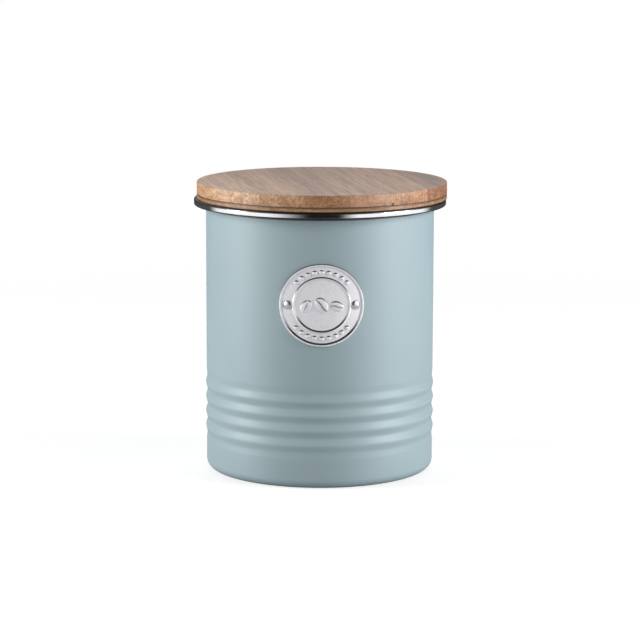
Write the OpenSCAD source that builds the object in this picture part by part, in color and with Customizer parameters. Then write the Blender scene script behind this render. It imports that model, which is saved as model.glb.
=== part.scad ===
// Round storage tin: a rolled steel body with four ribs, a polished rim that is
// rolled over its mouth, a riveted badge and a lift-off wooden lid with a seal ring.
// Millimetres, +Z up. The origin is the middle of the foot, on the table.
// The badge faces -Y.

/* [Body] */
// Outside diameter of the plain wall
body_d = 114; // [94:1:140]
// Height from the table to the top of the rim
tin_h = 136.5; // [112:0.5:170]
// Thickness of the painted sheet
sheet_t = 0.6; // [0.4:0.05:0.8]
// Outside radius of the rounded foot
foot_r = 4.5; // [3:0.5:6]
// Width of the flat ring that the tin stands on
foot_flat_w = 3.5; // [2.5:0.5:6]
// Height of the base panel above the table
base_recess = 3; // [2:0.5:6]

/* [Ribs] */
// Number of raised ribs round the lower body
rib_count = 4; // [2:1:5]
// Height of the lowest rib's crest
rib_low_z = 21.5; // [18:0.5:28]
// Distance from one crest to the next
rib_pitch = 7.3; // [5:0.1:9]
// How far a crest stands out of the plain wall
crest_out = 0.4; // [0.2:0.05:0.8]
// How far the valley between two ribs sinks in
valley_in = 0.45; // [0.2:0.05:0.8]
// How far the valley above and below the ribs sinks in
end_valley_in = 0.28; // [0.1:0.02:0.6]

/* [Rim] */
// How far the rim's bead stands out of the wall
rim_out = 6; // [4.5:0.5:8]
// Diameter of the bead that is rolled at the rim's edge
bead_d = 3; // [2.2:0.1:3.6]
// Thickness of the rim's steel
rim_t = 0.6; // [0.4:0.05:0.8]
// Outside radius of the bend from the sleeve to the flat of the rim
rim_bend_r = 1.2; // [1:0.1:1.6]
// Depth of the rim's sleeve inside the mouth
sleeve_h = 14; // [12:0.5:20]

/* [Lid] */
// How far the lid's edge stands back from the rim's
lid_inset = 0.5; // [0:0.1:2]
// Thickness of the staved top board
top_board_t = 6; // [4:0.2:10]
// Thickness of the thin board under it
lower_board_t = 2.4; // [1.6:0.2:4]
// Width of the small bevel that eases the lid's upper and lower edges
lid_bevel = 0.5; // [0.3:0.1:1]
// Number of staves in the top board
stave_count = 6; // [4:2:6]
// Width of each stave between two glue lines
stave_w = 20.9; // [12:0.1:22]
// Distance from the lid's centre to its middle glue line
stave_shift = 1.9; // [-4:0.1:4]
// Angle between the staves and the front-to-back line
stave_turn = 10; // [0:1:45]

/* [Plug and seal] */
// Depth of the plug that the lid carries into the mouth
plug_h = 12; // [10:0.5:16]
// Clearance between the plug and the rim's sleeve
plug_gap = 1.4; // [1:0.1:2.5]
// Depth of the groove that holds the seal
groove_depth = 2.4; // [1.8:0.1:3.5]
// Height of the seal
seal_h = 5; // [4:0.2:6]
// Number of lips on the seal
lip_count = 2; // [1:1:3]
// Clearance round the seal, to the sleeve and in its groove
seal_gap = 0.15; // [0.1:0.05:0.3]

/* [Badge] */
// Diameter of the badge, seen from the front
badge_d = 40.4; // [30:0.2:46]
// Thickness of the badge's plate
badge_t = 0.8; // [0.5:0.1:1.2]
// Width of the badge's raised edge
badge_edge_w = 1.4; // [1:0.1:2]
// Width of the badge's inner ring
badge_ring_w = 1.8; // [1:0.1:2]
// How far the edge and the ring stand out of the plate
badge_relief = 0.5; // [0.3:0.1:0.8]
// How far the badge sits below the middle of the plain wall
badge_drop = 1; // [0:0.5:6]

/* [Rivets] */
// Clearance between a rivet's head and the badge's raised edge
rivet_edge_gap = 0.75; // [0.2:0.05:2]
// Clearance between a rivet's head and the badge's inner ring
rivet_ring_gap = 0.2; // [0.1:0.05:1]
// Diameter of a rivet's head
rivet_head_d = 4.2; // [3:0.1:5]
// Height of a rivet's head
rivet_head_h = 0.9; // [0.6:0.1:1.4]
// Diameter of a rivet's shank
shank_d = 2.2; // [1.6:0.1:2.6]
// Diameter of the burr washer inside the tin
burr_d = 4.8; // [4:0.1:6]
// Thickness of the burr washer
burr_t = 0.6; // [0.4:0.1:1]

/* [Hidden] */
$fn = 144;

// What stands apart from its neighbour by no more than a hair
hair = 0.05;
// Clearance between the rim's flat and the lid that rests on it
lid_rest_gap = 0.1;

body_r = body_d / 2;
body_in_r = body_r - sheet_t;
foot_in_r = body_r - foot_r - foot_flat_w;
wall_top_z = tin_h - rim_bend_r;

rim_r = body_r + rim_out;
bead_r = bead_d / 2;
sleeve_out_r = body_in_r - hair;
sleeve_in_r = sleeve_out_r - rim_t;

lid_r = rim_r - lid_inset;
lid_low_z = tin_h + lid_rest_gap;
top_board_z = lid_low_z + lower_board_t;

plug_r = sleeve_in_r - plug_gap;
plug_chamfer = 0.8;
groove_r = plug_r - groove_depth;
groove_h = seal_h + 2 * seal_gap;
seal_z = lid_low_z - plug_h / 2;

// The ribs are a wave of half-pitch steps, from the plain wall to the plain wall
half_pitch = rib_pitch / 2;
rib_zone_low_z = rib_low_z - rib_pitch;
wave_levels = concat(
    [0, -end_valley_in],
    [for (i = [1 : 2 * rib_count - 1]) i % 2 == 1 ? crest_out : -valley_in],
    [-end_valley_in, 0]
);
rib_zone_top_z = rib_zone_low_z + half_pitch * (len(wave_levels) - 1);
points_per_step = 6;

badge_in_r = body_r + hair;
badge_out_r = badge_in_r + badge_t;
badge_z = (rib_zone_top_z + tin_h - bead_d) / 2 - badge_drop;
rivet_spacing = badge_d - 2 * (badge_edge_w + rivet_edge_gap) - rivet_head_d;
rivet_turn = asin(rivet_spacing / 2 / body_r);
badge_ring_out_d = rivet_spacing - rivet_head_d - 2 * rivet_ring_gap;
shank_gap = 0.1;
tail_h = 0.5;
tail_d = shank_d + 0.8;
burr_half_w = burr_d / 2;
burr_seat_r = sqrt(pow(body_in_r, 2) - pow(burr_half_w, 2)) - hair;

paint = [0.66, 0.74, 0.77];
steel = [0.82, 0.83, 0.85];
badge_metal = [0.78, 0.78, 0.81];
rubber = [0.86, 0.86, 0.84];
stave_tans = [[0.76, 0.60, 0.44], [0.72, 0.56, 0.40]];
board_tan = [0.66, 0.48, 0.33];

// Share of a step climbed at u, from 0 to 1: a cosine with a straighter flank
flank_straightness = 0.04;
function climb(u) =
    (1 - (cos(180 * u) + flank_straightness * cos(540 * u)) / (1 + flank_straightness)) / 2;

// Height above the table and outside radius at each point up the ribbed wall
function wave_point(step, u) = [
    body_r + wave_levels[step] + (wave_levels[step + 1] - wave_levels[step]) * climb(u),
    rib_zone_low_z + half_pitch * (step + u)
];
wave_points = [
    for (step = [0 : len(wave_levels) - 2], k = [0 : points_per_step - 1])
        wave_point(step, k / points_per_step)
];

// The wall's outside line, moved inwards by inset
function wall_line(inset) = concat(
    [[body_r - inset, foot_r]],
    [for (p = wave_points) [p[0] - inset, p[1]]],
    [[body_r - inset, rib_zone_top_z], [body_r - inset, wall_top_z]]
);
function backwards(list) = [for (i = [len(list) - 1 : -1 : 0]) list[i]];

// A quarter of a sheet bent round its own centre, in the quadrant of sign_x and sign_y
module bent_quarter(outer_r, thickness, sign_x, sign_y) {
    intersection() {
        difference() {
            circle(r = outer_r);
            circle(r = outer_r - thickness);
        }
        translate([sign_x > 0 ? 0 : -outer_r, sign_y > 0 ? 0 : -outer_r]) square(outer_r);
    }
}

// Places its children on a rivet's line, with +Z pointing out of the tin
module on_rivet_line(side) {
    rotate([0, 0, side * rivet_turn]) translate([0, 0, badge_z]) rotate([90, 0, 0]) children();
}

module rivet_hole(side) {
    on_rivet_line(side)
        translate([0, 0, body_in_r - burr_d]) cylinder(d = shank_d + shank_gap, h = 2 * burr_d);
}

module body_wall() {
    color(paint) difference() {
        rotate_extrude() {
            polygon(concat(wall_line(0), backwards(wall_line(sheet_t))));
            translate([body_r - foot_r, foot_r]) bent_quarter(foot_r, sheet_t, 1, -1);
            translate([foot_in_r, 0]) square([foot_flat_w, sheet_t]);
        }
        rivet_hole(-1);
        rivet_hole(1);
    }
}

// The base is pressed up in the middle, and its flange lies on the turned-in foot
module base_plate() {
    seat_gap = 0.2;
    flange_r = body_r - foot_r - seat_gap;
    step_h = base_recess - sheet_t;
    step_low_r = foot_in_r - seat_gap;
    panel_r = step_low_r - step_h;
    bend = sheet_t * tan(22.5);
    color(paint) rotate_extrude() polygon([
        [0, base_recess],
        [panel_r, base_recess],
        [step_low_r, sheet_t],
        [flange_r, sheet_t],
        [flange_r, 2 * sheet_t],
        [step_low_r + bend, 2 * sheet_t],
        [panel_r + bend, base_recess + sheet_t],
        [0, base_recess + sheet_t]
    ]);
}

// One strip of steel: up inside the mouth, out flat under the lid and round the bead
module rim_ring() {
    flat_start_r = sleeve_in_r + rim_bend_r;
    bead_centre_r = rim_r - bead_r;
    color(steel) rotate_extrude() {
        translate([sleeve_in_r, tin_h - sleeve_h]) square([rim_t, sleeve_h - rim_bend_r]);
        translate([flat_start_r, tin_h - rim_bend_r]) bent_quarter(rim_bend_r, rim_t, -1, 1);
        translate([flat_start_r, tin_h - rim_t]) square([bead_centre_r - flat_start_r, rim_t]);
        translate([bead_centre_r, tin_h - bead_r]) {
            bent_quarter(bead_r, rim_t, 1, 1);
            bent_quarter(bead_r, rim_t, 1, -1);
            bent_quarter(bead_r, rim_t, -1, -1);
        }
    }
}

// A disc bent round the tin, from inner_r to outer_r, as wide as d from the front
module bent_disc(d, inner_r, outer_r) {
    intersection() {
        difference() {
            cylinder(r = outer_r, h = tin_h);
            translate([0, 0, -1]) cylinder(r = inner_r, h = tin_h + 2);
        }
        translate([0, 0, badge_z]) rotate([90, 0, 0]) cylinder(d = d, h = body_d);
    }
}

// A raised ring on the badge, between two diameters
module badge_ring(outside_d, inside_d) {
    difference() {
        bent_disc(outside_d, badge_in_r + badge_t / 2, badge_out_r + badge_relief);
        bent_disc(inside_d, badge_in_r, badge_out_r + 2 * badge_relief);
    }
}

module badge_plate() {
    color(badge_metal) difference() {
        union() {
            bent_disc(badge_d, badge_in_r, badge_out_r);
            badge_ring(badge_d, badge_d - 2 * badge_edge_w);
            badge_ring(badge_ring_out_d, badge_ring_out_d - 2 * badge_ring_w);
        }
        rivet_hole(-1);
        rivet_hole(1);
    }
}

// A low dome standing on z = 0
module dome(d, h) {
    ball_r = (pow(d / 2, 2) + pow(h, 2)) / (2 * h);
    intersection() {
        translate([0, 0, h - ball_r]) sphere(r = ball_r);
        cylinder(d = d, h = h);
    }
}

module rivet(side) {
    head_seat = badge_out_r + hair;
    tail_seat = burr_seat_r - burr_t - hair;
    head_bite = rivet_head_h / 2;
    color(steel) on_rivet_line(side) {
        translate([0, 0, head_seat]) dome(rivet_head_d, rivet_head_h);
        translate([0, 0, tail_seat - tail_h / 2])
            cylinder(d = shank_d, h = head_seat + head_bite - tail_seat + tail_h / 2);
        translate([0, 0, tail_seat]) mirror([0, 0, 1]) dome(tail_d, tail_h);
    }
}

module rivet_burr(side) {
    color(steel) on_rivet_line(side) translate([0, 0, burr_seat_r - burr_t]) difference() {
        cylinder(d = burr_d, h = burr_t);
        translate([0, 0, -burr_t]) cylinder(d = shank_d + shank_gap, h = 3 * burr_t);
    }
}

// Silicone ring with thin lips that touch the sleeve
module seal_ring() {
    seal_in_r = groove_r + seal_gap;
    lip_root_r = plug_r - hair;
    lip_tip_r = sleeve_in_r - seal_gap;
    lip_step = seal_h / lip_count;
    lip_root_h = 0.56 * lip_step;
    lip_tip_h = 0.2 * lip_step;
    color(rubber) rotate_extrude() translate([0, seal_z - seal_h / 2]) {
        translate([seal_in_r, 0]) square([lip_root_r - seal_in_r, seal_h]);
        for (i = [0 : lip_count - 1]) translate([lip_root_r, lip_step * (i + 0.5)]) polygon([
            [-hair, -lip_root_h / 2],
            [0, -lip_root_h / 2],
            [lip_tip_r - lip_root_r, -lip_tip_h / 2],
            [lip_tip_r - lip_root_r, lip_tip_h / 2],
            [0, lip_root_h / 2],
            [-hair, lip_root_h / 2]
        ]);
    }
}

module lid_plug() {
    plug_low_z = lid_low_z - plug_h;
    color(board_tan) rotate_extrude() difference() {
        polygon([
            [0, plug_low_z],
            [plug_r - plug_chamfer, plug_low_z],
            [plug_r, plug_low_z + plug_chamfer],
            [plug_r, lid_low_z],
            [0, lid_low_z]
        ]);
        translate([groove_r, seal_z - groove_h / 2]) square([groove_depth + 1, groove_h]);
    }
}

// A round board standing on z = 0, with a bevel at its lower or its upper edge
module board(thickness, low_bevel, top_bevel) {
    rotate_extrude() polygon([
        [0, 0],
        [lid_r - low_bevel, 0],
        [lid_r, low_bevel],
        [lid_r, thickness - top_bevel],
        [lid_r - top_bevel, thickness],
        [0, thickness]
    ]);
}

module lid_lower_board() {
    color(board_tan) translate([0, 0, lid_low_z]) board(lower_board_t, lid_bevel, 0);
}

// Stave i of the top board, counted from -X; the outer two run on to the lid's edge
module lid_stave(i) {
    left_x = i == 1 ? -lid_r - 1 : stave_shift + stave_w * (i - 1 - stave_count / 2);
    right_x = i == stave_count ? lid_r + 1 : stave_shift + stave_w * (i - stave_count / 2);
    color(stave_tans[i % 2]) translate([0, 0, top_board_z]) rotate([0, 0, stave_turn])
        intersection() {
            board(top_board_t, 0, lid_bevel);
            translate([left_x, -lid_r - 1, -1])
                cube([right_x - left_x, 2 * lid_r + 2, top_board_t + 2]);
        }
}

body_wall();
base_plate();
rim_ring();
badge_plate();
rivet(-1);  // rivet_left
rivet(1);  // rivet_right
rivet_burr(-1);  // rivet_burr_left
rivet_burr(1);  // rivet_burr_right
seal_ring();
lid_plug();
lid_lower_board();
for (i = [1 : stave_count])
    lid_stave(i);
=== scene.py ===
import math

import bpy
from mathutils import Matrix, Vector


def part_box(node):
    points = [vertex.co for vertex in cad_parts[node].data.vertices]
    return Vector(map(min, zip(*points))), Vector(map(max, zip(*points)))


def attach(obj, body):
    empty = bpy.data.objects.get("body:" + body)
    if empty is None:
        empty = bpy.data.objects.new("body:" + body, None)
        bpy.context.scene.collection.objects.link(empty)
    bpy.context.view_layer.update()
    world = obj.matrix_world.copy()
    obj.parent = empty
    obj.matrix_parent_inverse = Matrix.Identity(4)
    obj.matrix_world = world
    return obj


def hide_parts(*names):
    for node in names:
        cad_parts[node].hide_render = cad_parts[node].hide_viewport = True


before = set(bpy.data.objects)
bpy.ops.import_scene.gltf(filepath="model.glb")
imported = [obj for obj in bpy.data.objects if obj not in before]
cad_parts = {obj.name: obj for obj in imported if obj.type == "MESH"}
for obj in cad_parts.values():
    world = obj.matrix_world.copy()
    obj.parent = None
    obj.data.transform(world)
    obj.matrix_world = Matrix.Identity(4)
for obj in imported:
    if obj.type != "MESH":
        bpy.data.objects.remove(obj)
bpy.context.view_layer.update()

MM = 0.001
WELD = 0.001 * MM

# ---------------------------------------------------------------- sizes, from the frame

_, wall_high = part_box("body_wall")
rim_low, rim_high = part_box("rim_ring")
_, base_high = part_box("base_plate")
plug_low, plug_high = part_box("lid_plug")
seal_low, seal_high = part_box("seal_ring")
lower_board_low, lower_board_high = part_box("lid_lower_board")
stave_low, stave_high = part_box("lid_stave_3")
badge_low, badge_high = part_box("badge_plate")

# Sheet steel: its thickness, the hairline between two pieces, and its cut edges' rounding.
SHEET = 0.6 * MM
HAIR = 0.05 * MM
CUT_EASE = 0.1 * MM

# Ribs: how far crests and valleys stand from the wall, with shallower valleys at both ends.
CREST_OUT = 0.4 * MM
VALLEY_IN = 0.45 * MM
END_VALLEY_IN = 0.28 * MM
RIB_COUNT = 4
RIB_LOW_Z = 21.5 * MM
RIB_PITCH = 7.3 * MM
FLANK_STRAIGHTNESS = 0.04

# Wall: the rounded foot, its flat under the tin, two rows of points up the plain part, and the
# seam up the back.
FOOT_R = 4.5 * MM
FOOT_FLAT = 3.5 * MM
WALL_ROWS = (75 * MM, 105 * MM)
SEAM_W = 3.2 * MM
SEAM_PROUD = 0.12 * MM

# Base: two rings that stiffen its raised panel.
BASE_RINGS = (16 * MM, 34 * MM)
BASE_RING_HALF_H = 0.35 * MM
BASE_RING_HALF_W = 2.7 * MM
BASE_RING_POINTS = 6

# Rim: half the band's height, the bend into the mouth, the inner roll, the face's corners, and
# how far below the top the rolled edge ends.
BEAD_R = 1.5 * MM
RIM_BEND_R = 1.2 * MM
CURL_R = 0.8 * MM
FACE_EASE = 0.5 * MM
CURL_LIP = 1.1 * MM

wall_r = wall_high[0] - CREST_OUT
wall_in_r = wall_r - SHEET
wall_top = wall_high[2]
rim_r = rim_high[0]
rim_top = rim_high[2]
sleeve_low = rim_low[2]
sleeve_in_r = wall_in_r - HAIR - SHEET
lid_r = lower_board_high[0]
plug_r = plug_high[0]
badge_r = (badge_high[2] - badge_low[2]) / 2
badge_z = (badge_high[2] + badge_low[2]) / 2

# Lid: how far off centre it was laid, and its staves, from left to right.
BOARD_SHIFT = 0.9 * MM
STAVE_COUNT = 6
STAVE_W = 20.9 * MM
STAVE_SHIFT = 1.9 * MM
STAVE_TURN = math.radians(10)

# The rounds along the boards' edges, and the thin lines of glue between them.
LID_EASE = 0.5 * MM
JOINT_EASE = 0.2 * MM
LOWER_EASE = 0.3 * MM
GLUE_GAP = 0.05 * MM
BOARD_GAP = 0.02 * MM

# The pin knot: its stave, its place round the edge from the front, and its height in the board.
KNOT_STAVE = 5
KNOT_ANGLE = math.radians(32.3)
KNOT_UP = 0.75 * MM

# Plug: its groove, the play above and below the seal, its lower round and the groove's edges.
GROOVE_DEEP = 2.4 * MM
GROOVE_SLACK = 0.15 * MM
PLUG_ROUND = 1.0 * MM
PLUG_EASE = 0.25 * MM

# Seal: how deep it sits in the groove, its edges, and each lip's tip and half heights.
SEAL_DEEP = 2.25 * MM
SEAL_EASE = 0.3 * MM
LIP_R = 0.25 * MM
LIP_ROOT = 0.75 * MM
LIP_NECK = 0.52 * MM

# ---------------------------------------------------------------- modelling helpers


def deselect_all():
    bpy.ops.object.select_all(action="DESELECT")


def select_only(piece):
    deselect_all()
    piece.select_set(True)
    bpy.context.view_layer.objects.active = piece


def name_new(name):
    piece = bpy.context.object
    piece.name = piece.data.name = name
    return piece


def edit(piece):
    """Opens a piece in edit mode, picking points, with nothing selected."""
    select_only(piece)
    bpy.ops.object.mode_set(mode="EDIT")
    bpy.ops.mesh.select_mode(type="VERT")
    bpy.ops.mesh.select_all(action="DESELECT")


def leave_edit():
    bpy.ops.object.mode_set(mode="OBJECT")


def select_faces(piece, wanted):
    """Selects, in edit mode, the faces whose centre and normal pass the test."""
    bpy.ops.object.mode_set(mode="OBJECT")
    for face in piece.data.polygons:
        face.select = wanted(face.center, face.normal)
    bpy.ops.object.mode_set(mode="EDIT")
    bpy.ops.mesh.select_mode(type="FACE")


def select_edges(piece, wanted):
    """Selects, in edit mode, the edges whose two ends pass the test."""
    bpy.ops.mesh.select_mode(type="EDGE")
    bpy.ops.object.mode_set(mode="OBJECT")
    points = piece.data.vertices
    for edge in piece.data.edges:
        a, b = (points[i].co for i in edge.vertices)
        edge.select = wanted(a, b)
    bpy.ops.object.mode_set(mode="EDIT")


def place(piece, location=(0, 0, 0), rotation=(0, 0, 0), scale=(1, 1, 1)):
    """Moves, turns and sizes a piece, then settles that into its mesh."""
    select_only(piece)
    piece.location = location
    piece.rotation_euler = rotation
    piece.scale = scale
    bpy.ops.object.transform_apply(location=True, rotation=True, scale=True)


def apply_modifier(piece, kind, **settings):
    select_only(piece)
    modifier = piece.modifiers.new(kind.title(), kind)
    for key, value in settings.items():
        setattr(modifier, key, value)
    bpy.ops.object.modifier_apply(modifier=modifier.name)


def smooth(piece, degrees=30):
    select_only(piece)
    bpy.ops.object.shade_smooth_by_angle(angle=math.radians(degrees))


def copy_of(piece, name):
    """A copy with a mesh of its own."""
    select_only(piece)
    bpy.ops.object.duplicate(linked=False)
    return name_new(name)


def join(pieces, name):
    select_only(pieces[0])
    for piece in pieces[1:]:
        piece.select_set(True)
    bpy.ops.object.join()
    return name_new(name)


def arc(centre_r, centre_z, radius, start, end, steps):
    """Points of (radius, height) on an arc, its angles in degrees from the +r side."""
    points = []
    for i in range(steps + 1):
        angle = math.radians(start + (end - start) * i / steps)
        points.append((centre_r + radius * math.cos(angle), centre_z + radius * math.sin(angle)))
    return points


def lathe(name, outline, steps=192, smooth_angle=30):
    """Draws an outline of (radius, height) by extruding one point, then spins it about Z."""
    deselect_all()
    bpy.ops.mesh.primitive_plane_add(size=MM)
    piece = name_new(name)
    edit(piece)
    bpy.ops.mesh.select_all(action="SELECT")
    bpy.ops.mesh.merge(type="CENTER")
    bpy.ops.transform.translate(value=(outline[0][0], 0, outline[0][1]))
    for (r0, z0), (r1, z1) in zip(outline, outline[1:]):
        bpy.ops.mesh.extrude_region_move(
            TRANSFORM_OT_translate={"value": (r1 - r0, 0, z1 - z0)}
        )
    bpy.ops.mesh.select_all(action="SELECT")
    bpy.ops.mesh.spin(steps=steps, angle=math.tau, center=(0, 0, 0), axis=(0, 0, 1))
    bpy.ops.mesh.select_all(action="SELECT")
    bpy.ops.mesh.remove_doubles(threshold=WELD)
    bpy.ops.mesh.normals_make_consistent(inside=False)
    leave_edit()
    smooth(piece, smooth_angle)
    return piece


def finish_piece(piece, body, nodes, material):
    """Gives a piece its material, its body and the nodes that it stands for."""
    piece.data.materials.clear()
    piece.data.materials.append(material)
    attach(piece, body)
    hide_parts(*nodes)


# ---------------------------------------------------------------- material helpers


class Nodes:
    """A material's node tree, with one call for each node."""

    def __init__(self, name):
        self.material = bpy.data.materials.new(name)
        self.material.use_nodes = True
        self.tree = self.material.node_tree
        self.tree.nodes.clear()
        self.output = self.tree.nodes.new("ShaderNodeOutputMaterial")

    def link(self, source, target):
        self.tree.links.new(source, target)

    def add(self, kind, settings=None, **inputs):
        """Adds a node. Inputs go by name, or by number as _0, _1 and so on."""
        node = self.tree.nodes.new("ShaderNode" + kind)
        for key, value in (settings or {}).items():
            setattr(node, key, value)
        for key, value in inputs.items():
            by_number = key[1:].isdigit()
            socket = node.inputs[int(key[1:]) if by_number else key.replace("_", " ")]
            if isinstance(value, bpy.types.NodeSocket):
                self.link(value, socket)
            else:
                socket.default_value = value
        return node

    def coords(self, scale=(1, 1, 1), turn=0.0, shift=(0, 0, 0)):
        """Object coordinates, turned about Z, moved and then scaled."""
        place_in = self.add("TexCoord").outputs["Object"]
        turned = self.add("Mapping", Vector=place_in, Rotation=(0, 0, turn), Location=shift)
        return self.add("Mapping", Vector=turned.outputs[0], Scale=scale).outputs[0]

    def noise(self, vector, scale=1.0, detail=4.0, roughness=0.6, distortion=0.0):
        node = self.add(
            "TexNoise", Vector=vector, Scale=scale, Detail=detail,
            Roughness=roughness, Distortion=distortion,
        )
        return node.outputs["Fac"]

    def maths(self, operation, a, b=0.0, c=0.0):
        settings = {"operation": operation}
        return self.add("Math", settings, _0=a, _1=b, _2=c).outputs[0]

    def ramp(self, value, low, high, out_low=0.0, out_high=1.0):
        """A smooth step from one output to the other while the value goes from low to high."""
        node = self.add(
            "MapRange", {"interpolation_type": "SMOOTHSTEP"}, Value=value,
            From_Min=low, From_Max=high, To_Min=out_low, To_Max=out_high,
        )
        return node.outputs[0]

    def colours(self, value, stops):
        """A colour ramp through stops of (position, colour)."""
        node = self.add("ValToRGB", Fac=value)
        bar = node.color_ramp.elements
        bar[0].position, bar[0].color = stops[0][0], (*stops[0][1], 1)
        bar[1].position, bar[1].color = stops[-1][0], (*stops[-1][1], 1)
        for position, colour in stops[1:-1]:
            stop = bar.new(position)
            stop.color = (*colour, 1)
        return node.outputs["Color"]

    def mix(self, factor, a, b):
        """Colour a, or b where the factor is 1."""
        node = self.add("Mix", {"data_type": "RGBA"})
        for socket, value in ((node.inputs[0], factor), (node.inputs[6], a), (node.inputs[7], b)):
            if isinstance(value, bpy.types.NodeSocket):
                self.link(value, socket)
            else:
                socket.default_value = (*value, 1) if isinstance(value, tuple) else value
        return node.outputs[2]

    def bump(self, height, strength, distance):
        return self.add("Bump", Height=height, Strength=strength, Distance=distance).outputs[0]

    def principled(self, **inputs):
        shader = self.add("BsdfPrincipled", **inputs)
        self.link(shader.outputs[0], self.output.inputs["Surface"])
        return self.material


def radius_and_height(nodes):
    """Distance from the tin's axis, and height above the table."""
    split = nodes.add("SeparateXYZ", Vector=nodes.add("TexCoord").outputs["Object"])
    x, y = split.outputs[0], split.outputs[1]
    squares = nodes.maths("ADD", nodes.maths("MULTIPLY", x, x), nodes.maths("MULTIPLY", y, y))
    return nodes.maths("SQRT", squares), split.outputs[2]


# ---------------------------------------------------------------- materials

# Colours of the metals and the silicone, and the painted shade on them.
PAINT_DEEP, PAINT_PALE = (0.295, 0.389, 0.423), (0.318, 0.411, 0.444)
PAINT_SPECK, PAINT_CREST = (0.385, 0.49, 0.52), (0.43, 0.52, 0.55)
FOOT_SHADE, RIM_SHADE = (0.07, 0.09, 0.10), (0.03, 0.035, 0.04)
STEEL_GREY, STEEL_BRIGHT, STEEL_SHADE = (0.88, 0.88, 0.89), (0.93, 0.93, 0.93), (0.012, 0.012, 0.014)
TINPLATE_GREY, TINPLATE_PALE = (0.80, 0.80, 0.84), (0.88, 0.87, 0.90)
TINPLATE_MOTTLE, TINPLATE_SHADE = (0.62, 0.62, 0.66), (0.022, 0.022, 0.026)
RIVET_GREY, RIVET_BRIGHT = (0.80, 0.80, 0.83), (0.93, 0.93, 0.94)
SEAL_GREY, SEAL_PALE = (0.74, 0.74, 0.70), (0.80, 0.80, 0.77)

# What changes the wood's tones, painted sheen and painted shade among them, and how much darker its
# pores are.
TOP_SHEEN, GLUE_BROWN = (0.36, 0.35, 0.36), (0.075, 0.040, 0.020)
EDGE_SHADE, KNOT_BROWN = (0.03, 0.016, 0.010), (0.02, 0.010, 0.006)
PORE_SHADE = 0.40
FIBRE_SHARE, BAND_SHARE = 0.68, 0.32

ENAMEL_IOR = 1.5
SILICONE_IOR = 1.41

# Each wood's dark, middle and light tone.
STAVE_TONES = (
    ((0.30, 0.158, 0.080), (0.515, 0.297, 0.164), (0.72, 0.47, 0.29)),
    ((0.26, 0.128, 0.060), (0.455, 0.247, 0.126), (0.63, 0.385, 0.22)),
    ((0.19, 0.088, 0.038), (0.35, 0.175, 0.085), (0.50, 0.28, 0.15)),
    ((0.24, 0.118, 0.060), (0.43, 0.230, 0.125), (0.57, 0.34, 0.21)),
    ((0.24, 0.108, 0.048), (0.43, 0.215, 0.105), (0.60, 0.34, 0.19)),
    ((0.145, 0.062, 0.029), (0.285, 0.134, 0.067), (0.42, 0.225, 0.125)),
)
LOWER_BOARD_TONES = ((0.18, 0.085, 0.038), (0.34, 0.175, 0.085), (0.48, 0.28, 0.15))
PLUG_TONES = ((0.24, 0.135, 0.07), (0.43, 0.265, 0.15), (0.58, 0.39, 0.24))


def painted_steel():
    """Satin enamel: a faint orange peel, paler rib crests, and painted shade at the foot and under
    the rim.
    """
    nodes = Nodes("satin_enamel")
    cloud = nodes.noise(nodes.coords(), scale=45, detail=3)
    speck = nodes.noise(nodes.coords(), scale=2600, detail=2, roughness=0.7)
    base = nodes.mix(cloud, PAINT_DEEP, PAINT_PALE)
    base = nodes.mix(nodes.ramp(speck, 0.35, 0.75, 0.0, 0.10), base, PAINT_SPECK)
    radius, height = radius_and_height(nodes)
    crest = nodes.ramp(radius, wall_r + 0.15 * MM, wall_r + CREST_OUT, 0.0, 0.12)
    # Painted shade: the foot goes near black where it meets the table.
    foot_shade = nodes.ramp(height, 0.1 * MM, 1.0 * MM, 0.85, 0.0)
    base = nodes.mix(crest, base, PAINT_CREST)
    base = nodes.mix(foot_shade, base, FOOT_SHADE)
    # Painted shadow: the paint goes near black in a band just below the rolled rim.
    rim_under = rim_top - 2 * BEAD_R
    rim_shadow = nodes.ramp(height, rim_under - 1.65 * MM, rim_under - 1.15 * MM, 0.0, 0.95)
    base = nodes.mix(rim_shadow, base, RIM_SHADE)
    gloss = nodes.ramp(cloud, 0.3, 0.7, 0.45, 0.52)
    peel = nodes.noise(nodes.coords(), scale=900, detail=2, roughness=0.5)
    bump = nodes.bump(peel, 0.10, 0.05 * MM)
    return nodes.principled(
        Base_Color=base, Roughness=gloss, Normal=bump, IOR=ENAMEL_IOR,
        Coat_Weight=0.08, Coat_Roughness=0.30,
    )


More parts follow.
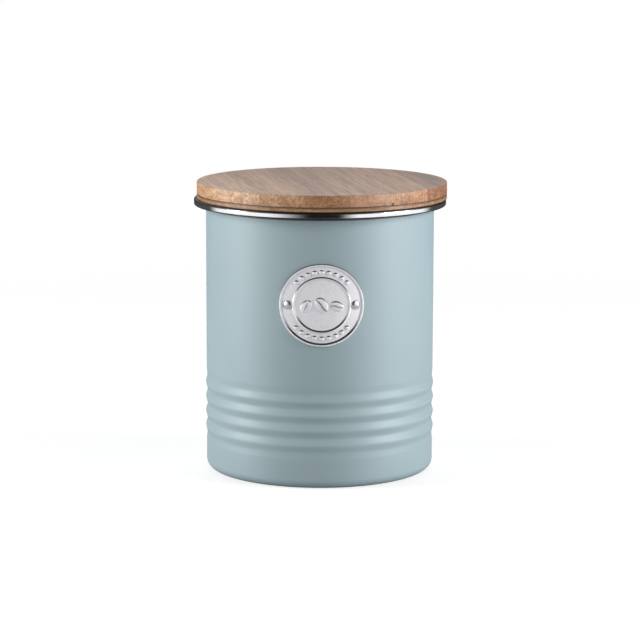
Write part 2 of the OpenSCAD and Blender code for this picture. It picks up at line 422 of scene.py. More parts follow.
def polished_steel():
    """Bright rolled steel, polished in fine lines round the rim, with painted shade under it and at
    its corner.
    """
    nodes = Nodes("polished_steel")
    radius, height = radius_and_height(nodes)
    across = nodes.add("CombineXYZ", _0=radius, _1=height).outputs[0]
    lines = nodes.noise(across, scale=9000, detail=2, roughness=0.7)
    smear = nodes.noise(nodes.coords(), scale=120, detail=3)
    polish = nodes.ramp(lines, 0.3, 0.7, 0.05, 0.09)
    rough = nodes.maths("ADD", polish, nodes.ramp(smear, 0.4, 0.8, 0, 0.04))
    bump = nodes.bump(lines, 0.04, 0.02 * MM)
    tint = nodes.mix(smear, STEEL_GREY, STEEL_BRIGHT)
    # Painted shade: the underside of the curl, and the top corner past the lid's edge, are made near
    # black and duller.
    curl_low = rim_top - 2 * BEAD_R
    under = nodes.ramp(height, curl_low + 0.45 * MM, curl_low + 0.65 * MM, 1.0, 0.0)
    outer = nodes.ramp(radius, wall_r, wall_r + 0.5 * MM)
    shoulder = nodes.ramp(height, rim_top - 0.85 * MM, rim_top - 0.60 * MM, 0.0, 0.95)
    past_lid = nodes.ramp(radius, rim_r - 1.0 * MM, rim_r - 0.7 * MM)
    shade_under_curl = nodes.maths("MULTIPLY", under, outer)
    shade_at_shoulder = nodes.maths("MULTIPLY", shoulder, past_lid)
    dark = nodes.maths("MAXIMUM", shade_under_curl, shade_at_shoulder)
    tint = nodes.mix(dark, tint, STEEL_SHADE)
    rough = nodes.maths("MULTIPLY_ADD", dark, 0.30, rough)
    return nodes.principled(Base_Color=tint, Metallic=1.0, Roughness=rough, Normal=bump)


def badge_metal():
    """Pressed tinplate: pale and matt, with painted shade on the slopes that face up."""
    nodes = Nodes("pressed_tinplate")
    grain = nodes.noise(nodes.coords(), scale=3000, detail=3, roughness=0.7)
    cloud = nodes.noise(nodes.coords(), scale=160, detail=3)
    mottle = nodes.noise(nodes.coords(), scale=1100, detail=2)
    pale = nodes.mix(cloud, TINPLATE_GREY, TINPLATE_PALE)
    pale = nodes.mix(nodes.ramp(mottle, 0.45, 0.75, 0.0, 0.35), pale, TINPLATE_MOTTLE)
    # Painted shade: slopes that face up are made near black, standing in for the dark that they
    # reflect.
    facing = nodes.add("TexCoord").outputs["Normal"]
    upward = nodes.add("SeparateXYZ", Vector=facing).outputs[2]
    slope_shade = nodes.ramp(upward, 0.12, 0.38, 0.0, 0.98)
    base = nodes.mix(slope_shade, pale, TINPLATE_SHADE)
    matt = nodes.ramp(cloud, 0.3, 0.7, 0.46, 0.56)
    rough = nodes.maths("ADD", matt, nodes.ramp(grain, 0.3, 0.7, -0.04, 0.06))
    bump = nodes.bump(grain, 0.18, 0.03 * MM)
    return nodes.principled(Base_Color=base, Metallic=0.2, Roughness=rough, Normal=bump)


def rivet_metal():
    """Plated steel, a little worn."""
    nodes = Nodes("rivet_steel")
    wear = nodes.noise(nodes.coords(), scale=1400, detail=4, roughness=0.7)
    base = nodes.mix(wear, RIVET_GREY, RIVET_BRIGHT)
    rough = nodes.ramp(wear, 0.3, 0.7, 0.18, 0.30)
    bump = nodes.bump(wear, 0.12, 0.03 * MM)
    return nodes.principled(Base_Color=base, Metallic=1.0, Roughness=rough, Normal=bump)


def silicone():
    """Milky silicone that lets some light in, with a little dust."""
    nodes = Nodes("milky_silicone")
    dust = nodes.noise(nodes.coords(), scale=900, detail=4)
    base = nodes.mix(dust, SEAL_GREY, SEAL_PALE)
    return nodes.principled(
        Base_Color=base, Roughness=nodes.ramp(dust, 0.3, 0.7, 0.38, 0.52), IOR=SILICONE_IOR,
        Subsurface_Weight=0.25, Subsurface_Radius=(1, 1, 1), Subsurface_Scale=1.2 * MM,
        Normal=nodes.bump(dust, 0.06, 0.05 * MM),
    )


def wood(name, tones, shift, turn, knot=None):
    """Oiled board, solid right through: streaks along the grain, dots on its ends, a glue line, a
    painted sheen on top and painted shade along the bottom edge.
    """
    dark, middle, light = tones
    nodes = Nodes(name)
    fibre_at = nodes.coords((1150, 34, 1150), turn, shift)
    fibre = nodes.noise(fibre_at, detail=5, roughness=0.75)
    bands_at = nodes.coords((240, 6, 240), turn, shift)
    bands = nodes.noise(bands_at, detail=3, roughness=0.55, distortion=0.4)
    vessels_at = nodes.coords((2600, 210, 2600), turn, shift)
    vessels = nodes.noise(vessels_at, detail=2, roughness=0.5)
    fine = nodes.maths("MULTIPLY", fibre, FIBRE_SHARE)
    tone = nodes.maths("ADD", fine, nodes.maths("MULTIPLY", bands, BAND_SHARE))
    base = nodes.colours(tone, [(0.39, dark), (0.50, middle), (0.60, light)])
    pores = nodes.ramp(vessels, 0.58, 0.72, 0.0, 0.65)
    base = nodes.mix(pores, base, tuple(PORE_SHADE * c for c in dark))

    radius, height = radius_and_height(nodes)
    top, joint, under = stave_high[2], stave_low[2] - 0.2 * MM, lower_board_low[2]
    # Painted sheen: the top face is made greyer and paler, standing in for the reflection of a pale
    # room.
    top_sheen = nodes.ramp(height, top - 0.35 * MM, top - 0.08 * MM, 0.0, 0.28)
    base = nodes.mix(top_sheen, base, TOP_SHEEN)
    from_joint = nodes.maths("ABSOLUTE", nodes.maths("SUBTRACT", height, joint))
    glue = nodes.ramp(from_joint, 0.20 * MM, 0.80 * MM, 0.74, 0.0)
    base = nodes.mix(glue, base, GLUE_BROWN)
    # Painted shade: the lowest part of the lid's edge is made near black.
    at_edge = nodes.ramp(radius, lid_r - 2.2 * MM, lid_r - 0.6 * MM)
    at_bottom = nodes.ramp(height, under + 0.25 * MM, under + 0.6 * MM, 0.95, 0.0)
    base = nodes.mix(nodes.maths("MULTIPLY", at_edge, at_bottom), base, EDGE_SHADE)
    if knot is not None:
        place_in = nodes.add("TexCoord").outputs["Object"]
        offset = nodes.add("VectorMath", {"operation": "DISTANCE"}, _0=place_in, _1=knot)
        pin = nodes.ramp(offset.outputs["Value"], 0.4 * MM, 1.0 * MM, 0.97, 0.0)
        base = nodes.mix(pin, base, KNOT_BROWN)

    rough = nodes.ramp(tone, 0.3, 0.7, 0.52, 0.42)
    relief = nodes.maths("SUBTRACT", fibre, nodes.maths("MULTIPLY", pores, 0.8))
    bump = nodes.bump(relief, 0.3, 0.1 * MM)
    return nodes.principled(Base_Color=base, Roughness=rough, Normal=bump)


# ---------------------------------------------------------------- the tin


def climb(share):
    """Share of a rib's height climbed at a share of its flank: a cosine, made a little straighter."""
    wave = math.cos(math.pi * share) + FLANK_STRAIGHTNESS * math.cos(3 * math.pi * share)
    return (1 - wave / (1 + FLANK_STRAIGHTNESS)) / 2


def rib_points(steps=10):
    """Points of (radius, height) up the ribbed zone's outside."""
    levels = [0, -END_VALLEY_IN]
    levels += [CREST_OUT if i % 2 == 0 else -VALLEY_IN for i in range(2 * RIB_COUNT - 1)]
    levels += [-END_VALLEY_IN, 0]
    start, flank = RIB_LOW_Z - RIB_PITCH, RIB_PITCH / 2
    points = []
    for i, (a, b) in enumerate(zip(levels, levels[1:])):
        for k in range(steps):
            out = a + (b - a) * climb(k / steps)
            points.append((wall_r + out, start + flank * (i + k / steps)))
    points.append((wall_r, start + flank * (len(levels) - 1)))
    return points


def make_body_wall(paint):
    """Rolled sheet: eased top edge, four ribs, rounded foot turned in, and a seam up the back."""
    foot_c = wall_r - FOOT_R
    foot_in = foot_c - FOOT_FLAT
    ribs = rib_points()
    outside = [(foot_in, CUT_EASE), (foot_in + CUT_EASE, 0)]
    outside += arc(foot_c, FOOT_R, FOOT_R, -90, 0, 12)
    outside += ribs + [(wall_r, height) for height in WALL_ROWS]
    outside += [(wall_r, wall_top - CUT_EASE), (wall_r - CUT_EASE, wall_top)]
    inside = [(wall_in_r + CUT_EASE, wall_top), (wall_in_r, wall_top - CUT_EASE)]
    inside += [(r - SHEET, z) for r, z in reversed(ribs)]
    inside += arc(foot_c, FOOT_R, FOOT_R - SHEET, 0, -90, 8)
    inside += [(foot_in + CUT_EASE, SHEET), (foot_in, SHEET - CUT_EASE)]
    outline = outside + inside
    piece = lathe("body_shell", outline + outline[:1], steps=224, smooth_angle=40)

    def on_seam(centre, normal):
        behind = centre.y > wall_r - SHEET and normal.y > 0.5
        return behind and abs(centre.x) < SEAM_W / 2 and FOOT_R < centre.z < wall_top - MM

    edit(piece)
    select_faces(piece, on_seam)
    bpy.ops.mesh.extrude_region_shrink_fatten(TRANSFORM_OT_shrink_fatten={"value": SEAM_PROUD})
    leave_edit()
    smooth(piece, 40)
    finish_piece(piece, "tin", ["body_wall"], paint)


def make_base(paint):
    """Pressed base with two raised rings that stiffen its panel."""
    foot_in = wall_r - FOOT_R - FOOT_FLAT
    seat = SHEET + 0.02 * MM
    flange_r = base_high[0]
    panel_z = base_high[2] - SHEET
    low_r = foot_in - 0.3 * MM
    step = panel_z - seat

    # From the middle outwards: the panel, its two rings, a sloping step down and the flange.
    def under(lift, out):
        """The underside's outline, or the top's when lifted by the sheet's thickness."""
        points = [(0, panel_z + lift)]
        for ring_r in BASE_RINGS:
            for k in range(-BASE_RING_POINTS, BASE_RING_POINTS + 1):
                share = k / BASE_RING_POINTS
                rise = BASE_RING_HALF_H * (1 + math.cos(math.pi * share))
                points.append((ring_r + BASE_RING_HALF_W * share, panel_z + lift + rise))
        points += [(low_r - step - 0.6 * MM + out, panel_z + lift)]
        points += [(low_r - step + out + 0.1 * MM, panel_z + lift - 0.3 * MM)]
        points += [(low_r + out - 0.3 * MM, seat + lift + 0.2 * MM)]
        points += [(low_r + out + 0.3 * MM, seat + lift)]
        return points

    outline = under(0, 0) + [(flange_r, seat), (flange_r, seat + SHEET)]
    outline += list(reversed(under(SHEET, 0.25 * MM)))
    piece = lathe("base_pan", outline, steps=160, smooth_angle=40)
    finish_piece(piece, "tin", ["base_plate"], paint)


def make_rim(steel):
    """One strip: sleeve, bend, flat and an edge rolled under into a flat-faced curl."""
    band_low = rim_top - 2 * BEAD_R
    face_r = rim_r - FACE_EASE
    curl_in = rim_r - 2 * BEAD_R
    bend_c, bend_z = sleeve_in_r + RIM_BEND_R, rim_top - RIM_BEND_R
    curl_c, curl_z = curl_in + CURL_R, band_low + CURL_R
    sleeve_out_r = sleeve_in_r + SHEET
    shown = [(sleeve_in_r, sleeve_low + CUT_EASE)]
    shown += arc(bend_c, bend_z, RIM_BEND_R, 180, 90, 10)
    shown += arc(face_r, rim_top - FACE_EASE, FACE_EASE, 90, 0, 8)
    shown += arc(face_r, band_low + FACE_EASE, FACE_EASE, 0, -90, 8)
    shown += arc(curl_c, curl_z, CURL_R, -90, -180, 8)
    shown += [(curl_in, rim_top - CURL_LIP)]
    hidden = [(curl_in + SHEET, rim_top - CURL_LIP)]
    hidden += arc(curl_c, curl_z, CURL_R - SHEET, -180, -90, 4)
    hidden += [(rim_r - SHEET, band_low + SHEET), (rim_r - SHEET, rim_top - SHEET)]
    hidden += arc(bend_c, bend_z, RIM_BEND_R - SHEET, 90, 180, 6)
    hidden += [(sleeve_out_r, sleeve_low + CUT_EASE), (sleeve_out_r - SHEET / 2, sleeve_low)]
    outline = shown + hidden
    piece = lathe("rolled_rim", outline + outline[:1], steps=256, smooth_angle=40)
    finish_piece(piece, "tin", ["rim_ring"], steel)


# ---------------------------------------------------------------- the lid


def make_board(name, low, high, ease_low, ease_high):
    """A round board with its rims eased by a small round."""
    deselect_all()
    bpy.ops.mesh.primitive_cylinder_add(
        vertices=288, radius=lid_r, depth=high - low, location=(0, 0, (low + high) / 2)
    )
    piece = name_new(name)
    place(piece, piece.location.copy())
    for height, ease in ((low, ease_low), (high, ease_high)):
        edit(piece)
        select_edges(piece, lambda a, b: abs(a.z - height) < WELD and abs(b.z - height) < WELD)
        bpy.ops.mesh.bevel(offset=ease, segments=4, profile=0.5)
        leave_edit()
    return piece


def make_staves():
    """The upper board, cut along its glue lines into staves that differ a little in tone."""
    across = Vector((math.cos(STAVE_TURN), math.sin(STAVE_TURN), 0))
    board = make_board("upper_board", stave_low[2], stave_high[2], JOINT_EASE, LID_EASE)
    for i in range(STAVE_COUNT):
        number = i + 1
        stave = copy_of(board, f"stave_{number}")
        left = STAVE_SHIFT + STAVE_W * (i - STAVE_COUNT / 2) + GLUE_GAP / 2
        right = STAVE_SHIFT + STAVE_W * (i + 1 - STAVE_COUNT / 2) - GLUE_GAP / 2
        if i > 0:
            saw(stave, across, left, clear_inner=True)
        if number < STAVE_COUNT:
            saw(stave, across, right, clear_outer=True)
        place(stave, (BOARD_SHIFT, 0, 0))
        smooth(stave)
        knot = knot_place() if number == KNOT_STAVE else None
        shift = (0.137 * i, 0.071 * i, 0.053 * i)
        look = wood(f"wood_stave_{number}", STAVE_TONES[i], shift, -STAVE_TURN, knot)
        finish_piece(stave, "lid", [f"lid_stave_{number}"], look)
    bpy.data.objects.remove(board)


def saw(piece, across, offset, **cleared):
    """Cuts a piece through along the grain, drops one side and closes the cut."""
    edit(piece)
    bpy.ops.mesh.select_all(action="SELECT")
    bpy.ops.mesh.bisect(plane_co=across * offset, plane_no=across, use_fill=True, **cleared)
    leave_edit()


def knot_place():
    """A pin knot on the lid's front edge, right of the badge."""
    out_x, out_y = lid_r * math.sin(KNOT_ANGLE), -lid_r * math.cos(KNOT_ANGLE)
    return (BOARD_SHIFT + out_x, out_y, stave_low[2] + KNOT_UP)


def make_lower_board(look):
    """Thin board under the staves."""
    low, high = lower_board_low[2], lower_board_high[2] - BOARD_GAP
    piece = make_board("lower_board", low, high, LOWER_EASE, JOINT_EASE)
    place(piece, (BOARD_SHIFT, 0, 0))
    smooth(piece)
    finish_piece(piece, "lid", ["lid_lower_board"], look)


def make_plug(look):
    """Turned plug with a groove, its rims eased."""
    low, high = plug_low[2], plug_high[2]
    groove_r = plug_r - GROOVE_DEEP
    groove_low, groove_high = seal_low[2] - GROOVE_SLACK, seal_high[2] + GROOVE_SLACK
    outline = [(0, low), (plug_r - 1.2 * PLUG_ROUND, low)]
    outline += arc(plug_r - PLUG_ROUND, low + PLUG_ROUND, PLUG_ROUND, -80, 0, 6)
    outline += [(plug_r, groove_low - PLUG_EASE), (plug_r - PLUG_EASE, groove_low)]
    outline += [(groove_r, groove_low), (groove_r, groove_high)]
    outline += [(plug_r - PLUG_EASE, groove_high), (plug_r, groove_high + PLUG_EASE)]
    outline += [(plug_r, high), (0, high)]
    piece = lathe("turned_plug", outline, steps=192, smooth_angle=35)
    finish_piece(piece, "lid", ["lid_plug"], look)


def make_seal(look):
    """Ring of silicone with two rounded lips."""
    low, high = seal_low[2], seal_high[2]
    inner, root, tip = plug_r - SEAL_DEEP, plug_r - HAIR, seal_high[0]
    neck = root + LIP_R
    outline = [(inner, low + SEAL_EASE), (inner + SEAL_EASE, low)]
    outline += [(root - SEAL_EASE, low), (root, low + SEAL_EASE)]
    step = (high - low) / 2
    for i in range(2):
        middle = low + step * (i + 0.5)
        outline += [(root, middle - LIP_ROOT), (neck, middle - LIP_NECK)]
        outline += arc(tip - LIP_R, middle, LIP_R, -80, 80, 6)
        outline += [(neck, middle + LIP_NECK), (root, middle + LIP_ROOT)]
    outline += [(root, high - SEAL_EASE), (root - SEAL_EASE, high)]
    outline += [(inner + SEAL_EASE, high), (inner, high - SEAL_EASE)]
    piece = lathe("silicone_seal", outline + outline[:1], steps=192, smooth_angle=50)
    finish_piece(piece, "seal", ["seal_ring"], look)


# ---------------------------------------------------------------- the badge

# The plate, and how far its edge and ring stand up.
PLATE_T = 0.8 * MM
RELIEF = 0.5 * MM

# Its raised edge and inner ring: their widths and slopes, and small steps that ease their edges.
EDGE_W = 1.75 * MM
EDGE_SLOPE_OUT = 0.25 * MM
EDGE_SLOPE_IN = 0.85 * MM
RING_OUT_R = 14.0 * MM
RING_W = 1.65 * MM
RING_SLOPE_OUT = 0.55 * MM
RING_SLOPE_IN = 0.75 * MM
CROWN_EASE = 0.08 * MM
CROWN_STEP = 0.06 * MM
FOOT_EASE = 0.06 * MM
FOOT_STEP = 0.04 * MM
FLAT_STEP = 0.9 * MM

# Keeps the plate's own edges off the lines that the bores are cut on.
OFF_LINE = math.radians(0.7)

# Rivets: their distance from the badge's middle, the hole for the shank and the seat round it.
RIVET_OUT = 15.95 * MM
HOLE_R = 1.15 * MM
BORE_R = 2.4 * MM
BORE_DEEP = 0.2 * MM

# A rivet's head, shank and tail. The tail's outline is (radius, depth) in millimetres.
HEAD_R = 2.1 * MM
HEAD_H = 0.9 * MM
HEAD_BRIM = 0.12 * MM
SHANK_R = 1.1 * MM
TAIL_OUT = 0.75 * MM
TAIL_OUTLINE = ((0, 0.5), (0.7, 0.46), (1.2, 0.3), (1.5, 0))

# A burr washer's radius, thickness and eased edges.
BURR_R = 2.4 * MM
BURR_T = 0.6 * MM
BURR_EASE = 0.12 * MM

# Beans: x, y, turn in degrees, length, width and height, in millimetres.
BEANS = (
    (0, 0, 24, 8.2, 5.7, 0.56),
    (-7.3, -0.5, -32, 6.8, 4.8, 0.54),
    (7.3, -0.5, 62, 6.8, 4.8, 0.54),
)

# A furrow's bend for the bean's length, and its half width for the bean's width.
FURROW_BEND = 0.72
FURROW_WIDTH = 0.085

# Beads in the band between edge and ring.
BEAD_W = 2.3 * MM
BEAD_H = 0.52 * MM
BEAD_COUNT = 9
BEAD_STEP = math.radians(11.8)


def badge_outline():
    """From the middle of the back, round the raised edge, to the middle of the front."""
    field = PLATE_T
    crown = PLATE_T + RELIEF
    inner_edge = badge_r - EDGE_W
    ring_in = RING_OUT_R - RING_W

    def ridge(outer, inner, slope_out, slope_in):
        """Over a raised ring, from its outer foot to its inner one."""
        crown_out, crown_in = outer - slope_out, inner + slope_in
        return [
            (outer - FOOT_EASE, field + FOOT_STEP), (crown_out, crown - CROWN_STEP),
            (crown_out - CROWN_EASE, crown), (crown_in + CROWN_EASE, crown),
            (crown_in, crown - CROWN_STEP), (inner + FOOT_EASE, field + FOOT_STEP), (inner, field),
        ]

    def flat(outer, inner):
        """Points across a flat, close enough together for the plate to bend well."""
        count = max(1, round((outer - inner) / FLAT_STEP))
        return [(outer + (inner - outer) * i / count, field) for i in range(1, count)]

    points = [(badge_r * i / 14, 0) for i in range(14)]
    points += [(badge_r - 0.7 * MM, 0), (badge_r - 0.6 * MM, 0.35 * MM)]
    points += [(badge_r - 0.12 * MM, 0.40 * MM), (badge_r, 0.55 * MM), (badge_r, field + 0.05 * MM)]
    points += ridge(badge_r, inner_edge, EDGE_SLOPE_OUT, EDGE_SLOPE_IN)[1:]
    points += flat(inner_edge, RING_OUT_R) + [(RING_OUT_R, field)]
    points += ridge(RING_OUT_R, ring_in, RING_SLOPE_OUT, RING_SLOPE_IN)
    points += flat(ring_in, 0) + [(0, field)]
    return points


def make_dome(name, width, length, height):
    """A low rounded boss, round or oval."""
    deselect_all()
    bpy.ops.mesh.primitive_uv_sphere_add(segments=36, ring_count=18, radius=1)
    dome = name_new(name)
    place(dome, scale=(width / 2, length / 2, height))
    return dome


def make_bean(length, width, height):
    """A coffee bean in low relief, with an S-shaped furrow down its middle."""
    bean = make_dome("bean", width, length, height)
    bend_r = FURROW_BEND * length
    for side in (-1, 1):
        deselect_all()
        bpy.ops.mesh.primitive_torus_add(
            major_radius=bend_r, minor_radius=FURROW_WIDTH * width,
            major_segments=120, minor_segments=10, location=(side * bend_r, 0, height),
        )
        furrow = name_new("furrow")
        place(furrow, furrow.location.copy())
        edit(furrow)
        bpy.ops.mesh.select_all(action="SELECT")
        bpy.ops.mesh.bisect(
            plane_co=(0, side * 0.01 * MM, 0), plane_no=(0, side, 0), use_fill=True, clear_outer=True,
        )
        leave_edit()
        combine(bean, furrow, "DIFFERENCE")
    return bean


def make_badge(look):
    """Pressed plate with a raised edge, an inner ring, a row of beans and two arcs of beads."""
    badge = lathe("pressed_badge", badge_outline(), steps=176, smooth_angle=24)
    place(badge, rotation=(0, 0, OFF_LINE))
    relief = []
    for x, y, turn, length, width, height in BEANS:
        bean = make_bean(length * MM, width * MM, height * MM)
        place(bean, (x * MM, y * MM, PLATE_T), (0, 0, math.radians(turn)))
        relief.append(bean)
    band_r = (badge_r - EDGE_W + RING_OUT_R) / 2
    bead = make_dome("bead", BEAD_W, BEAD_W, BEAD_H)
    for side in (-1, 1):
        for i in range(BEAD_COUNT):
            angle = side * math.pi / 2 + (i - (BEAD_COUNT - 1) / 2) * BEAD_STEP
            copy = copy_of(bead, "bead_copy")
            place(copy, (band_r * math.cos(angle), band_r * math.sin(angle), PLATE_T))
            relief.append(copy)
    bpy.data.objects.remove(bead)
    combine(badge, join(relief, "relief"), "UNION")
    bore = [(0, -MM), (HOLE_R, -MM), (HOLE_R, PLATE_T - BORE_DEEP)]
    bore += [(BORE_R, PLATE_T - BORE_DEEP), (BORE_R, PLATE_T + MM), (0, PLATE_T + MM)]
    for side in (-1, 1):
        drill = lathe("drill", bore, steps=40)
        place(drill, (side * RIVET_OUT, 0, 0))
        combine(badge, drill, "DIFFERENCE")
    edit(badge)
    bpy.ops.mesh.select_all(action="SELECT")
    bpy.ops.mesh.remove_doubles(threshold=2 * WELD)
    bpy.ops.mesh.dissolve_degenerate(threshold=WELD)
    leave_edit()
    place(badge, rotation=(math.pi / 2, 0, 0))
    bend_r = wall_r + HAIR
    widen = bend_r / badge_r * math.asin(badge_r / bend_r)
    place(badge, scale=(widen, 1, 1))
    wrap = badge.dimensions.x / bend_r
    apply_modifier(badge, "SIMPLE_DEFORM", deform_method="BEND", deform_axis="Z", angle=wrap)
    place(badge, (0, -bend_r, badge_z))
    smooth(badge, 24)
    finish_piece(badge, "tin", ["badge_plate"], look)


def combine(piece, other, operation):
    """Joins or cuts a piece with another closed shape, which is used up."""
    apply_modifier(piece, "BOOLEAN", operation=operation, object=other, solver="EXACT")
    bpy.data.objects.remove(other)


def make_rivet(name, side, node, look):
    """Domed head, shank and the tail that is closed over inside the tin."""
    seat = PLATE_T - BORE_DEEP + 2 * HAIR
    brim = seat + HEAD_BRIM
    dome_h = HEAD_H - HEAD_BRIM
    tail = -SHEET - TAIL_OUT
    outline = [(r * MM, tail - z * MM) for r, z in TAIL_OUTLINE]
    outline += [(SHANK_R, tail), (SHANK_R, seat), (HEAD_R - CUT_EASE, seat), (HEAD_R, brim)]
    for k in range(1, 12):
        angle = math.pi / 2 * k / 12
        outline.append((HEAD_R * math.cos(angle), brim + dome_h * math.sin(angle)))
    outline.append((0, brim + dome_h))
    piece = lathe(name, outline, steps=48, smooth_angle=35)
    place_on_rivet_line(piece, side)
    finish_piece(piece, "tin", [node], look)


def make_burr(name, side, node, look):
    """Small washer that the rivet's tail is closed on."""
    high = -SHEET - CUT_EASE
    low = high - BURR_T
    outline = [(HOLE_R, low), (BURR_R - BURR_EASE, low), (BURR_R, low + BURR_EASE)]
    outline += [(BURR_R, high - BURR_EASE), (BURR_R - BURR_EASE, high), (HOLE_R, high)]
    piece = lathe(name, outline + outline[:1], steps=48, smooth_angle=35)
    place_on_rivet_line(piece, side)
    finish_piece(piece, "tin", [node], look)


def place_on_rivet_line(piece, side):
    """Lays a piece that was turned about Z on the rivet's line, out through the wall."""
    turn = side * math.asin(RIVET_OUT / wall_r)
    place(piece, rotation=(math.pi / 2, 0, 0))
    place(piece, (0, -wall_r, badge_z))
    place(piece, rotation=(0, 0, turn))


# ---------------------------------------------------------------- build

paint = painted_steel()
steel = polished_steel()
make_body_wall(paint)
make_base(paint)
make_rim(steel)
make_badge(badge_metal())
rivet_look = rivet_metal()
for side, word in ((-1, "left"), (1, "right")):
    make_rivet(f"rivet_head_{word}", side, f"rivet_{word}", rivet_look)
    make_burr(f"burr_{word}", side, f"rivet_burr_{word}", rivet_look)
board_look = wood("wood_lower_board", LOWER_BOARD_TONES, (0.31, 0.47, 0.2), math.radians(75))
plug_look = wood("wood_plug", PLUG_TONES, (0.61, 0.27, 0.4), -STAVE_TURN)
make_staves()
make_lower_board(board_look)
make_plug(plug_look)
make_seal(silicone())

# ---------------------------------------------------------------- floor, light and camera

# The table's radius, where it fades out, and how bright it is for the tin and for the eye.
TABLE_R = 0.75
TABLE_FADE = (0.40, 0.74)
TABLE_BOUNCE = 0.45
TABLE_LIFT = 0.66

# The height that the soft boxes face, and how far off, how tall and how high up they are.
TIN_MIDDLE = 0.07
BOX_DISTANCE = 1.15
BOX_TALL = 0.8
BOX_HEIGHT = 0.40

# How bright the room is at the sides, high up behind, everywhere, and past the sides.
SIDE_GLOW = 1.0
BACK_GLOW = 1.8
ROOM_GLOW = 0.01
FAR_GLOW = 0.06

# Where the room's light begins and is full, in degrees round the tin from the front, and up.
LEFT_WALL = (9, 54)
RIGHT_WALL = (15, 37)
SIDES_END = (104, 122)
BEHIND = (136, 156)
OVERHEAD = (24, 44)
HIGH_FROM = (15, 26)
HIGH_TO = (50, 70)

# The camera's stand, its aim and its lens.
CAMERA_DISTANCE = 1.35609
CAMERA_HEIGHT = 0.30308
CAMERA_SIDE = 0.00014
CAMERA_PITCH = math.radians(9.5747)
CAMERA_ROLL = math.radians(0.145)
CAMERA_AZIMUTH = math.radians(-0.9)
CAMERA_LENS = 153.53


def make_floor():
    """White table top whose edge fades into the white surround."""
    deselect_all()
    bpy.ops.mesh.primitive_circle_add(vertices=96, radius=TABLE_R, fill_type="TRIFAN")
    floor = name_new("table")
    nodes = Nodes("white_table")
    radius, _ = radius_and_height(nodes)
    shade = nodes.add("BsdfDiffuse", Color=(TABLE_BOUNCE, TABLE_BOUNCE, TABLE_BOUNCE, 1))
    seen = nodes.add("LightPath").outputs["Is Camera Ray"]
    lift = nodes.add("Emission", Strength=nodes.maths("MULTIPLY", seen, TABLE_LIFT))
    pale = nodes.add("AddShader", _0=shade.outputs[0], _1=lift.outputs[0])
    clear = nodes.add("BsdfTransparent")
    fade = nodes.ramp(radius, *TABLE_FADE)
    mixed = nodes.add("MixShader", _0=fade, _1=pale.outputs[0], _2=clear.outputs[0])
    nodes.link(mixed.outputs[0], nodes.output.inputs["Surface"])
    floor.data.materials.append(nodes.material)


def soft_box(name, azimuth, width, power):
    """A soft box facing the tin. Azimuth 0 is in front of the badge, and positive on the right."""
    turn = math.radians(azimuth)
    data = bpy.data.lights.new(name, "AREA")
    data.shape = "RECTANGLE"
    data.size, data.size_y = width, BOX_TALL
    data.energy = power
    lamp = bpy.data.objects.new(name, data)
    lamp.location = (BOX_DISTANCE * math.sin(turn), -BOX_DISTANCE * math.cos(turn), BOX_HEIGHT)
    facing = lamp.location - Vector((0, 0, TIN_MIDDLE))
    lamp.rotation_euler = facing.to_track_quat("Z", "Y").to_euler()
    bpy.context.scene.collection.objects.link(lamp)


class World:
    """The world's node tree, with one call for each node."""

    def __init__(self):
        world = bpy.data.worlds.new("studio")
        world.use_nodes = True
        bpy.context.scene.world = world
        self.tree = world.node_tree
        self.tree.nodes.clear()

    def node(self, kind, *inputs, **settings):
        """Adds a node, its inputs given in order."""
        new = self.tree.nodes.new("ShaderNode" + kind)
        for key, value in settings.items():
            setattr(new, key, value)
        for socket, value in zip(new.inputs, inputs):
            if isinstance(value, bpy.types.NodeSocket):
                self.tree.links.new(value, socket)
            else:
                socket.default_value = value
        return new

    def maths(self, operation, *inputs):
        return self.node("Math", *inputs, operation=operation).outputs[0]

    def times(self, a, b):
        return self.maths("MULTIPLY", a, b)

    def rest_of(self, share):
        return self.maths("SUBTRACT", 1.0, share)

    def rise(self, value, angles):
        """A smooth step between two angles in degrees."""
        low, high = (math.radians(angle) for angle in angles)
        step = self.node("MapRange", value, low, high, 0.0, 1.0, interpolation_type="SMOOTHSTEP")
        return step.outputs[0]


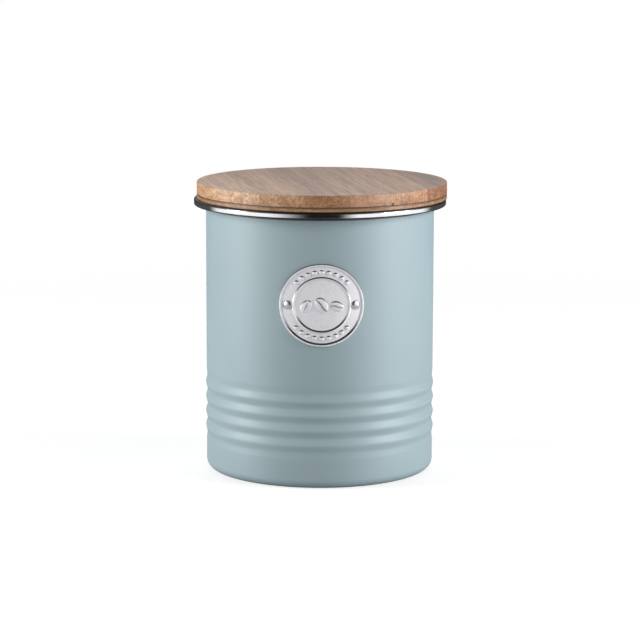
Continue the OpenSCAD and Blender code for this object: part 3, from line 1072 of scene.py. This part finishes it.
def make_world():
    """The room that the tin's gloss shows: dark in front, white at both sides, pale behind."""
    world = World()
    direction = world.node("TexCoord").outputs["Generated"]
    x, y, z = world.node("SeparateXYZ", direction).outputs
    azimuth = world.maths("ARCTAN2", x, world.times(y, -1.0))
    lift = world.maths("ARCSINE", z)
    left = world.rise(world.times(azimuth, -1.0), LEFT_WALL)
    right = world.rise(azimuth, RIGHT_WALL)
    around = world.maths("ABSOLUTE", azimuth)
    past_sides = world.rise(around, SIDES_END)
    behind = world.rise(around, BEHIND)
    sides = world.times(world.maths("ADD", left, right), world.rest_of(past_sides))
    overhead = world.rise(lift, OVERHEAD)
    walls = world.times(sides, world.rest_of(overhead))
    high = world.times(world.rise(lift, HIGH_FROM), world.rest_of(world.rise(lift, HIGH_TO)))
    dim = world.maths("MULTIPLY_ADD", past_sides, FAR_GLOW, ROOM_GLOW)
    walls = world.maths("MULTIPLY_ADD", walls, SIDE_GLOW, dim)
    glow = world.maths("MULTIPLY_ADD", world.times(behind, high), BACK_GLOW, walls)
    room = world.node("Background", (1, 1, 1, 1), glow)
    white = world.node("Background", (1, 1, 1, 1), 1.0)
    seen = world.node("LightPath").outputs["Is Camera Ray"]
    shown = world.node("MixShader", seen, room.outputs[0], white.outputs[0])
    world.node("OutputWorld", shown.outputs[0])


def make_camera():
    """A long lens, above the lid, looking a little down."""
    data = bpy.data.cameras.new("camera")
    data.sensor_width = 36
    data.lens = CAMERA_LENS
    data.clip_start = 0.05
    camera = bpy.data.objects.new("camera", data)
    around = Matrix.Rotation(CAMERA_AZIMUTH, 4, "Z")
    stand = Matrix.Translation((CAMERA_SIDE, -CAMERA_DISTANCE, CAMERA_HEIGHT))
    tilt = Matrix.Rotation(math.pi / 2 - CAMERA_PITCH, 4, "X")
    camera.matrix_world = around @ stand @ tilt @ Matrix.Rotation(CAMERA_ROLL, 4, "Z")
    bpy.context.scene.collection.objects.link(camera)
    bpy.context.scene.camera = camera


make_floor()
make_world()
soft_box("left_soft_box", -80, 0.40, 13.3)
soft_box("right_soft_box", 71, 0.62, 14.5)
make_camera()
bpy.context.scene.view_settings.view_transform = "Standard"
